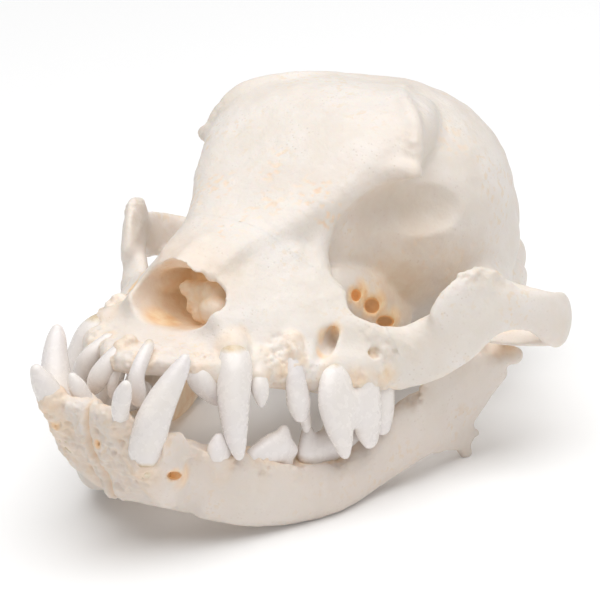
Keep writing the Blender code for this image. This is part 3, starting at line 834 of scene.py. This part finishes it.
PEG = {
    "peg": [34, [
        (-1.6, -48.6, 36, 1, 1), (-2.2, -50.4, 31.2, 1.2, 1.2), (-2.8, -50.2, 28, 0.9, 0.9),
    ]],
}
LOWER_LEFT = {
    "canine": [22.6, [
        (9.0, -49.8, 12.4, 2.0, 2.4), (10.0, -54.0, 17.4, 2.8, 3.1), (10.5, -56.6, 21.4, 3.3, 3.5),
        (11.3, -56.8, 25.6, 3.3, 3.5), (12.3, -55.2, 30.2, 2.9, 3.1),
        (13.5, -53.1, 34.2, 2.3, 2.4), (14.5, -51.4, 37.2, 1.6, 1.7),
        (14.8, -50.9, 38.4, 1.2, 1.2),
    ]],
    "third_incisor": [28.6, [
        (5.0, -55, 19, 1.2, 1.5), (6.6, -58.4, 25.4, 1.3, 1.6), (7.8, -60.6, 29.6, 1.6, 1.8),
        (9.0, -61.4, 33.0, 1.8, 1.8), (9.8, -61.4, 35.2, 1.2, 1.2),
    ]],
    "second_premolar": [18.6, [
        (16.2, -42.8, 14, 1.2, 1.6), (16.6, -43.6, 18.6, 1.9, 2.8), (16.8, -44.0, 21.2, 1.7, 2.5),
        (16.9, -44.2, 22.4, 1.0, 1.4),
    ]],
    "fourth_premolar": [13.2, [
        (19.0, -36.6, 17.2, 1.7, 1.9), (19.9, -33.8, 17.6, 2.1, 2.8),
        (20.8, -31.2, 18.0, 2.2, 3.0), (21.6, -28.8, 16.8, 1.5, 1.6),
    ], [
        (20.6, -31.6, 17, 2.1, 3.0), (21.0, -30.6, 19.8, 1.6, 2.1), (21.2, -30.2, 21.2, 1.0, 1.2),
    ], [
        (19.6, -35.4, 17, 1.5, 1.7), (19.2, -34.6, 8, 0.9, 1.1),
    ], [
        (21.2, -30, 16.6, 1.5, 1.8), (21.0, -29.6, 7.5, 0.9, 1.1),
    ]],
    "molar": [15, [
        (22.4, -25.6, 15.6, 1.7, 2.4), (23.4, -20.8, 15.8, 2.1, 3.4),
        (24.4, -15.6, 15.4, 2.1, 3.0), (25.4, -12.4, 15, 1.6, 1.8),
    ], [
        (22.6, -25, 15.6, 1.8, 2.6), (22.2, -24.6, 19.8, 1.1, 1.4),
    ], [
        (23.8, -19, 15.6, 1.9, 3.2), (23.2, -19, 20.4, 1.1, 1.6),
    ], [
        (23.0, -23.4, 15, 1.6, 2.2), (22.8, -22.8, 7, 1, 1.4),
    ], [
        (25, -15, 14.8, 1.6, 2.2), (25.4, -14.4, 9, 1, 1.4),
    ]],
}
LOWER_LEFT_ONLY = {"second_premolar"}
LOWER_RIGHT_ONLY = {
    "canine": [24.6, [
        (5.6, -48.8, 12.4, 2.0, 2.2), (6.6, -52.6, 17.4, 2.4, 2.6), (8.0, -55.2, 21.4, 2.8, 3.0),
        (9.8, -56.0, 25.6, 3.1, 3.2), (11.8, -54.9, 30.2, 2.9, 3.1), (13.5, -53.1, 34.2, 2.4, 2.5),
        (14.5, -51.4, 37.2, 1.8, 1.9), (14.8, -50.9, 38.4, 1.3, 1.3),
    ]],
    "second_incisor": [28.6, [
        (2.8, -54, 23, 1.2, 1.4), (3.6, -55.6, 27.2, 1.5, 1.6), (4.6, -56.6, 29.8, 1.8, 1.8),
        (5.2, -57.3, 31.6, 1.7, 1.6), (5.7, -57.7, 33.0, 1.1, 1.0),
    ]],
    "third_incisor": [29.6, [
        (6.0, -54.6, 21, 1.4, 1.7), (7.4, -58.4, 26.0, 2.1, 2.3), (8.6, -60.0, 29.0, 2.6, 2.5),
        (9.7, -61.2, 32.2, 2.3, 2.1), (10.4, -62.0, 34.4, 1.4, 1.3),
    ]],
}


def mirrored(teeth):
    """The same teeth on the other side."""
    return {
        name + "_right": [neck] + [[(-x, y, z, w, h) for x, y, z, w, h in keys] for keys in limbs]
        for name, (neck, *limbs) in teeth.items()
    }


def sunk(teeth):
    """Upper teeth with their roots leaning into the bone, more the further past their necks."""
    made = {}
    for name, (neck, *limbs) in teeth.items():
        made[name] = [neck]
        for keys in limbs:
            lean = [max(0, key[2] - neck) * 0.24 for key in keys]
            moved = []
            for d, (x, y, z, w, h) in zip(lean, keys):
                moved.append((x - (d if x > 0 else -d), y + d, z, w, h))
            made[name].append(moved)
    return made


def row_of(name, teeth, down):
    """The teeth of one jaw as one piece, painted by how far each point is past its neck."""
    made, share = [], []
    for tooth, (neck, *limbs) in teeth.items():
        made.append(gathered(limbs, tooth, TOOTH_CELL))
        height = points_of(made[-1])[:, 2]
        share.append(((neck - height) if down else (height - neck)) * 0.5 + 1.7)
    row = joined(name, made)
    paint(row, "crown", np.concatenate(share))
    return row


def left_and_right(make):
    return make(False) + make(True)


def narrow_right(obj):
    """Brings in the right side of the face and the right arch, as the photo has them."""
    points = points_of(obj)
    x, y, z = points.T
    face = smooth((-x - 8) / 14) * smooth((z - 34) / 5)
    face = face * smooth((58 - z) / 8) * smooth((20 - y) / 10)
    arch = smooth((-x - 33) / 8)
    low = smooth((36 - z) / 5) * smooth((y - 12) / 6) * smooth((-x - 38) / 3)
    points[:, 0] += 2.1 * np.maximum(face, arch)
    points[:, 2] += 2.2 * low
    set_points(obj, points)


def cheek_forms(mirror):
    """Rounds off the step between the nose's bridge and the cheek."""
    keys = [
        (9.0, -27.5, 45.4, 5, 1.6), (10.3, -24, 46.3, 6, 2), (10.8, -20, 48.1, 6, 2),
        (12.3, -16, 49.6, 5.5, 2),
    ]
    return [limb(keys, up=(0.7, 0, 0.72), mirror=mirror)]


def cranium_piece():
    forms = braincase_forms() + face_forms() + left_and_right(arch_forms)
    forms += left_and_right(cheek_forms)
    obj = fuse("cranium", forms, BONE_CELL, fillet=1.8, finish=0.5)
    carve(obj, cranium_cutters(), BONE_CELL, finish=0.15)
    added, taken = left_and_right(orbit_forms), left_and_right(orbit_holes)
    obj = refine(obj, added, taken, BONE_CELL, finish=0.2)
    largest(obj)
    narrow_right(obj)
    move_out(obj, 0.16 * layered(points_of(obj), 7, 11))
    return obj


def push_chin(obj):
    """Moves the right side of the chin in and back, where it is narrower than the left."""
    points = points_of(obj)
    x, y, z = points.T
    share = smooth((-x - 1) / 6) * smooth((-y - 40) / 9) * smooth((29 - z) / 7)
    set_points(obj, points + share[:, None] * (2.6, 1.6, 0))


def jaw_piece(mirror, teeth):
    forms = jaw_forms(mirror) + mandible_forms(mirror)
    obj = fuse("jaw", forms, FINE_CELL, fillet=1.4, finish=0.4)
    if mirror:
        # Lower border, which the photo shows through the open mouth
        border = limb([(-26, -8, 9.6, 2, 3.4), (-29, 2, 9.4, 2, 3.6), (-32, 11, 10.4, 2, 3.6)])
        obj = refine(obj, [border], [], FINE_CELL, finish=0.3)
        push_chin(obj)
    added = sleeves(teeth, False, 0.5)
    obj = refine(obj, added, mandible_cutters(mirror), FINE_CELL, finish=0.45)
    largest(obj)
    move_out(obj, 0.14 * layered(points_of(obj), 6, 13))
    return obj


def face_piece(obj, teeth):
    """The muzzle with the fine forms of its nose and tooth sockets."""
    added = nose_forms() + sleeves(teeth, True, 0.35)
    taken = nose_cutters() + left_and_right(face_cutters)
    return refine(obj, added, taken, FINE_CELL, finish=0.25)


# Amber places of the skull and the jaw, partly stains and partly painted shade in holes, hollows,
# sockets and under bones, then rough and specked places, by x, y, z, radius and strength
STAINS_AND_PAINTED_SHADE = both_sides([
    (19.5, -6.2, 40.6, 1.8, 0.9), (19, -0.5, 37.1, 2.4, 0.95), (18.8, 3.9, 33, 2.6, 0.8),
    (19, 6, 37, 9, 0.3), (22, 4, 50, 12, 0.13), (23.4, 15.2, 41, 6, 0.12),
    (22.8, -20.8, 36.8, 1.5, 0.5), (23.5, -18, 37.5, 1.5, 0.8), (22, -14.5, 38, 2.4, 1),
    (17, -3.2, 39.6, 3, 1), (17, 2, 36.6, 3.2, 1), (16.8, 6.6, 32.6, 3.2, 1),
    (24, -22.6, 34.4, 1.2, 0.6), (14.8, -54.3, 17.6, 1.3, 0.8), (12.4, -51.4, 16.6, 2.5, 1),
    (28.6, -19, 28.6, 3, 0.35), (31, -13, 29, 2, 0.35), (21, -30.8, 32.6, 2, 0.3),
    (10, -57.4, 23.8, 2.2, 0.7), (20.4, -32.5, 15.6, 1.6, 0.5), (22.6, -26.6, 14.8, 1.6, 0.4),
    (37, 17, 29.4, 3, 0.25), (8, -26, 26, 12, 0.5),
]) + [
    (-27, 0, 11, 9, 0.6), (0, -28, 42, 9, 0.5), (-4, -33, 38.6, 4, 0.8), (0, -20, 42, 7, 0.8),
    (2.2, -60.4, 22.5, 0.9, 0.8), (-7.7, -60.1, 24, 1.1, 0.8), (3.4, -58, 28, 2.2, 0.6),
    (19, 1.6, 62.2, 0.8, 0.9), (-2, -20, 55.6, 3, 0.08),
]
ROUGH = both_sides([
    (1.5, -28.5, 42, 4, 0.6), (31.5, -12.6, 33.4, 3, 0.5), (5, -60, 23.5, 7, 0.8),
    (3, -57, 17, 7, 0.75), (8.6, -59, 19, 5, 0.7), (14, -48, 21.4, 3.4, 0.6),
    (17, -42.4, 18, 2.6, 0.7), (20, -36, 15.6, 2.6, 0.8), (23, -29.5, 13.2, 2.6, 0.8),
    (25.4, -20, 13, 3, 0.8), (20.4, -29.6, 35.2, 3.4, 0.8), (22.6, -29, 32, 3.4, 0.8),
    (19.6, -31.6, 35, 3, 0.7), (21.2, -31.5, 30.4, 2.2, 0.8), (10, -45, 36.6, 4, 0.5),
    (13.2, -42, 36.6, 2, 0.7), (3, -50, 36.4, 4, 0.5), (40.5, 0.6, 47.4, 3.6, 0.7),
    (43.4, 6, 45.4, 2.4, 0.6), (22.2, 6.6, 67.7, 2.4, 0.3), (23.7, 5.5, 65.5, 2.2, 0.3),
    (25, 4.2, 63, 2, 0.3), (27, -22.5, 28.6, 2.4, 0.8), (29, -18.6, 28.6, 2.6, 0.8),
    (31, -13, 28, 3, 0.8), (31, -5, 23.6, 3, 0.8), (34, -10, 33.2, 3, 0.4),
    (28, -13, 36.4, 3, 0.25), (0, -54, 11, 4, 0.5), (49, 16, 33, 3, 0.25),
])
SPECKLED = [
    (2, -6.5, 64, 3, 0.6), (2.3, -9.1, 62.1, 2.5, 0.6), (-7.4, -13.5, 58.6, 4, 0.6),
    (5.5, -15.6, 57.3, 4, 0.5), (2, -22.5, 54.6, 4, 0.6), (13, -10, 59.8, 4, 0.7),
    (16, -9.4, 56, 3, 0.7), (-10, -15, 57, 5, 0.5), (-15, -17, 53, 5, 0.4), (21, 9, 43, 7, 0.45),
    (24, 17, 40, 7, 0.35), (19, 24, 64, 5, 0.3),
]


def dress(obj, teeth, lower):
    """Roughens and pits a bone, and paints where it is rough, and where it is stained or has
    painted shade, in hollows and next to teeth.
    """
    rough = near(points_of(obj), ROUGH)
    roughen(obj, rough, lower)
    points = points_of(obj)
    specks = near(points, SPECKLED) * smooth(3 * field(points, 0.75, 71) - 0.5)
    move_out(obj, -0.12 * specks)
    # Nearness to the teeth, for painted shade where the bone meets a tooth's neck
    close = np.zeros(len(points))
    if teeth:
        tree = kdtree.KDTree(len(teeth.data.vertices))
        for i, place in enumerate(points_of(teeth)):
            tree.insert(place, i)
        tree.balance()
        low, high = points_of(teeth).min(axis=0) - 2, points_of(teeth).max(axis=0) + 2
        inside = np.flatnonzero(((points > low) & (points < high)).all(axis=1))
        away = np.array([tree.find(points[i])[2] for i in inside])
        close[inside] = smooth(1.35 - away / 1.1)
    broken = 0.5 + 0.5 * field(points, 3.5, 61)
    paint(obj, "rough", rough)
    seam = np.zeros(len(points))
    if lower:
        seam = 0.4 * in_groove(points, 0.5)
    # Amber paint: stains and painted shade at the listed places, painted shade round the teeth's
    # necks broken up by noise, the specks, and the groove between the jaw halves
    stains_and_painted_shade = [near(points, STAINS_AND_PAINTED_SHADE), 0.4 * close * broken, 0.6 * specks, seam]
    paint(obj, "stain_and_painted_shade", np.max(stains_and_painted_shade, axis=0))
    return obj


class Shader:
    """Short calls for the nodes of one material."""

    def __init__(self, name):
        self.material = bpy.data.materials.new(name)
        self.material.use_nodes = True
        self.tree = self.material.node_tree
        self.surface = self.tree.nodes["Principled BSDF"]

    def put(self, target, value):
        if isinstance(value, bpy.types.NodeSocket):
            self.tree.links.new(value, target)
        else:
            target.default_value = value

    def node(self, kind, inputs, **settings):
        made = self.tree.nodes.new(kind)
        for key, value in settings.items():
            setattr(made, key, value)
        for key, value in inputs.items():
            self.put(made.inputs[key], value)
        return made

    def place(self):
        return self.node("ShaderNodeTexCoord", {}).outputs["Object"]

    def attribute(self, name):
        return self.node("ShaderNodeAttribute", {}, attribute_name=name).outputs["Fac"]

    def noise(self, size, detail=3.0, rough=0.55):
        """Noise with features of this size in millimetres."""
        inputs = {"Vector": self.place(), "Scale": 1 / (size * MM)}
        inputs.update({"Detail": detail, "Roughness": rough})
        return self.node("ShaderNodeTexNoise", inputs).outputs["Fac"]

    def cells(self, size):
        """Distance to the middle of the nearest of scattered cells of this size in millimetres."""
        inputs = {"Vector": self.place(), "Scale": 1 / (size * MM)}
        return self.node("ShaderNodeTexVoronoi", inputs).outputs["Distance"]

    def ramp(self, value, low, high, start=0.0, end=1.0):
        """Straight from start to end as the value goes from low to high."""
        inputs = {"Value": value, "From Min": low, "From Max": high}
        inputs.update({"To Min": start, "To Max": end})
        return self.node("ShaderNodeMapRange", inputs).outputs["Result"]

    def math(self, operation, a, b):
        return self.node("ShaderNodeMath", {0: a, 1: b}, operation=operation).outputs[0]

    def mix(self, share, one, other):
        inputs = {MIX_SHARE: share, MIX_ONE: one, MIX_OTHER: other}
        return self.node("ShaderNodeMix", inputs, data_type="RGBA").outputs[MIX_RESULT]

    def bump(self, height, distance):
        inputs = {"Height": height, "Distance": distance * MM, "Strength": 1.0}
        return self.node("ShaderNodeBump", inputs).outputs["Normal"]


def bone_material(name, painted_shade):
    m = Shader(name)
    stain_and_painted_shade, rough = m.attribute("stain_and_painted_shade"), m.attribute("rough")
    tint = m.ramp(m.noise(14, 2), 0.35, 0.65)
    colour = m.mix(tint, (0.82, 0.745, 0.665, 1), (0.87, 0.81, 0.755, 1))
    rosy = m.ramp(m.noise(23, 2), 0.48, 0.7, 0, 0.5)
    colour = m.mix(rosy, colour, (0.80, 0.70, 0.63, 1))
    pale = m.ramp(m.noise(3.2, 4), 0.5, 0.75, 0, 0.35)
    colour = m.mix(pale, colour, (0.90, 0.85, 0.80, 1))
    pores = m.ramp(m.cells(0.9), 0.0, 0.28, 1, 0)
    where = m.math("MULTIPLY", pores, m.ramp(m.noise(7, 3), 0.46, 0.66, 0.03, 0.7))
    colour = m.mix(m.math("MULTIPLY", where, 0.5), colour, (0.5, 0.36, 0.24, 1))
    specks = m.ramp(m.noise(1.4, 2), 0.54, 0.64)
    specks = m.math("MULTIPLY", specks, m.ramp(m.noise(13, 2), 0.5, 0.62, 0, 0.35))
    colour = m.mix(specks, colour, (0.82, 0.62, 0.38, 1))
    warm = m.math("MULTIPLY", rough, m.ramp(m.noise(1.6, 4), 0.4, 0.65))
    colour = m.mix(m.math("MULTIPLY", warm, 0.4), colour, (0.80, 0.60, 0.40, 1))
    mottle = m.ramp(m.noise(2.4, 3), 0.35, 0.65)
    amber = m.mix(mottle, (0.76, 0.43, 0.16, 1), (0.87, 0.64, 0.38, 1))
    # Amber where the bone is stained, and amber painted shade in its hollows, holes, sockets and
    # round the teeth's necks
    colour = m.mix(m.math("MULTIPLY", stain_and_painted_shade, 0.9), colour, amber)
    # Painted shade: a copy of the bone for the jaws is mixed toward a darker brown by this share,
    # so the low, downward-facing jaws look shaded under the light from above
    m.put(m.surface.inputs["Base Color"], m.mix(painted_shade, colour, (0.62, 0.50, 0.42, 1)))
    m.put(m.surface.inputs["Roughness"], m.ramp(m.noise(5, 3), 0.3, 0.7, 0.42, 0.62))
    # Painted glow: where the bone is painted amber it also gives off a faint amber light, as if
    # lit through thin bone
    m.put(m.surface.inputs["Emission Color"], amber)
    m.put(m.surface.inputs["Emission Strength"], m.math("MULTIPLY", stain_and_painted_shade, 0.2))
    m.surface.inputs["Subsurface Weight"].default_value = 0.15
    m.surface.inputs["Subsurface Radius"].default_value = (1.0, 0.6, 0.35)
    m.surface.inputs["Subsurface Scale"].default_value = 1.2 * MM
    grain = m.math("ADD", m.noise(1.1, 5, 0.6), m.math("MULTIPLY", where, -0.6))
    grain = m.math("ADD", grain, m.math("MULTIPLY", m.noise(0.7, 4, 0.7), rough))
    m.put(m.surface.inputs["Normal"], m.bump(grain, 0.16))
    return m.material


def tooth_material():
    m = Shader("tooth")
    crown = m.math("ADD", m.attribute("crown"), m.ramp(m.noise(1.5, 3), 0, 1, -0.15, 0.15))
    crown = m.ramp(crown, 0.4, 0.75)
    tint = m.ramp(m.noise(9, 2), 0.35, 0.65)
    enamel = m.mix(tint, (0.88, 0.83, 0.81, 1), (0.89, 0.835, 0.79, 1))
    root = m.mix(m.ramp(m.noise(1.8, 4), 0.35, 0.65), (0.72, 0.56, 0.36, 1), (0.80, 0.71, 0.57, 1))
    m.put(m.surface.inputs["Base Color"], m.mix(crown, root, enamel))
    m.put(m.surface.inputs["Roughness"], m.ramp(m.noise(1.6, 3), 0.3, 0.7, 0.18, 0.34))
    m.surface.inputs["Subsurface Weight"].default_value = 0.2
    m.surface.inputs["Subsurface Radius"].default_value = (0.8, 0.8, 0.9)
    m.surface.inputs["Subsurface Scale"].default_value = 1.0 * MM
    m.put(m.surface.inputs["Normal"], m.bump(m.noise(2.2, 2), 0.008))
    return m.material


def standing():
    """The move from the skull's own frame to the floor."""
    return Matrix.Translation(STAND * MM) @ Matrix.Rotation(math.radians(-LEAN), 4, "X")


def finish(obj, name, node, material):
    """Stands a piece on the floor, with its name and material, in its node's place."""
    obj.data.transform(standing())
    if node.startswith("mandible"):
        combine(obj, box((-100, -100, -20), (100, 100, 0)), "DIFFERENCE")
    obj.name = obj.data.name = name
    obj.data.materials.clear()
    obj.data.materials.append(material)
    obj.data.shade_smooth()
    obj.data.set_sharp_from_angle(angle=math.radians(SHARP_ANGLE))
    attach(obj, "root")
    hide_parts(node)


def upper_bones(bone, tooth):
    right = {name: made for name, made in UPPER_LEFT.items() if name != "third_incisor"}
    teeth = {**UPPER_LEFT, **LEFT_ONLY, **PEG, **mirrored({**right, **RIGHT_ONLY})}
    teeth = sunk(teeth)
    row = row_of("upper_teeth", teeth, True)
    skull = cranium_piece()
    forward = -Vector(SUTURE)
    front = half_space(forward, -SUTURE_LEVEL - OVERLAP)
    front = face_piece(combine(copy_of(skull), front, "INTERSECT"), teeth)
    made = {}
    for name, mirror in (("zygomatic_arch_left", False), ("zygomatic_arch_right", True)):
        made[name] = combine(copy_of(skull), arch_space(mirror), "INTERSECT")
        combine(skull, arch_space(mirror), "DIFFERENCE")
        combine(front, arch_space(mirror), "DIFFERENCE")
    made["muzzle"] = combine(front, half_space(forward, -SUTURE_LEVEL), "INTERSECT")
    made["braincase"] = combine(skull, half_space(SUTURE, SUTURE_LEVEL), "INTERSECT")
    for name, obj in made.items():
        obj = dress(largest(obj), row if name == "muzzle" else None, False)
        finish(obj, name + "_bone", name, bone)
    finish(row, row.name, "muzzle", tooth)


def lower_bones(bone, tooth):
    for name, mirror in (("mandible_left", False), ("mandible_right", True)):
        teeth = LOWER_LEFT
        if mirror:
            kept = {key: made for key, made in LOWER_LEFT.items() if key not in LOWER_LEFT_ONLY}
            teeth = mirrored({**kept, **LOWER_RIGHT_ONLY})
        row = row_of(name.replace("mandible", "lower_teeth"), teeth, False)
        half = jaw_piece(mirror, teeth)
        combine(half, half_space((-1 if mirror else 1, 0, 0), 0), "INTERSECT")
        finish(dress(largest(half), row, True), name + "_bone", name, bone)
        finish(row, row.name, name, tooth)


def floor_material():
    m = Shader("pale_floor")
    m.surface.inputs["Base Color"].default_value = (0.95, 0.95, 0.95, 1)
    m.surface.inputs["Roughness"].default_value = 0.7
    m.surface.inputs["Specular IOR Level"].default_value = 0.2
    m.surface.inputs["Emission Color"].default_value = (1, 1, 1, 1)
    m.surface.inputs["Emission Strength"].default_value = 0.07
    return m.material


def floor():
    bm = bmesh.new()
    bmesh.ops.create_grid(bm, x_segments=2, y_segments=2, size=3)
    mesh = bpy.data.meshes.new("floor")
    bm.to_mesh(mesh)
    bm.free()
    obj = link("floor", mesh)
    obj.data.materials.append(floor_material())


def lamp(name, place, size, power):
    """A round soft lamp, aimed at the middle of the skull."""
    light = bpy.data.objects.new(name, bpy.data.lights.new(name, "AREA"))
    light.data.shape = "DISK"
    light.data.size = size
    light.data.energy = power
    light.location = place
    away = Vector(place) - Vector((0, 0, 0.035))
    light.rotation_euler = away.to_track_quat("Z", "Y").to_euler()
    bpy.context.scene.collection.objects.link(light)


def studio():
    world = bpy.data.worlds.new("studio")
    world.use_nodes = True
    back = world.node_tree.nodes["Background"]
    back.inputs["Color"].default_value = (1, 1, 1, 1)
    back.inputs["Strength"].default_value = 0.24
    bpy.context.scene.world = world
    bpy.context.scene.view_settings.view_transform = "Standard"
    lamp("key", (0.12, -0.06, 1.0), size=1.5, power=13.2)
    lamp("fill", (0.9, -0.4, 0.6), size=0.6, power=0.3)


def camera():
    a, e = math.radians(CAMERA_AZIMUTH), math.radians(CAMERA_ELEVATION)
    back = Vector((math.sin(a) * math.cos(e), -math.cos(a) * math.cos(e), math.sin(e)))
    place = Matrix.Translation((CAMERA_TARGET + back * CAMERA_DISTANCE) * MM)
    place = place @ back.to_track_quat("Z", "Y").to_matrix().to_4x4()
    made = bpy.data.objects.new("camera", bpy.data.cameras.new("camera"))
    made.matrix_world = standing() @ place
    made.data.lens = CAMERA_LENS
    made.data.clip_start = 0.01
    bpy.context.scene.collection.objects.link(made)
    bpy.context.scene.camera = made


tooth = tooth_material()
upper_bones(bone_material("dry_bone", 0), tooth)
# The jaws' bone is a darker, browner copy of the skull's: painted shade
lower_bones(bone_material("jaw_bone_painted_shade", 0.22), tooth)
floor()
studio()
camera()
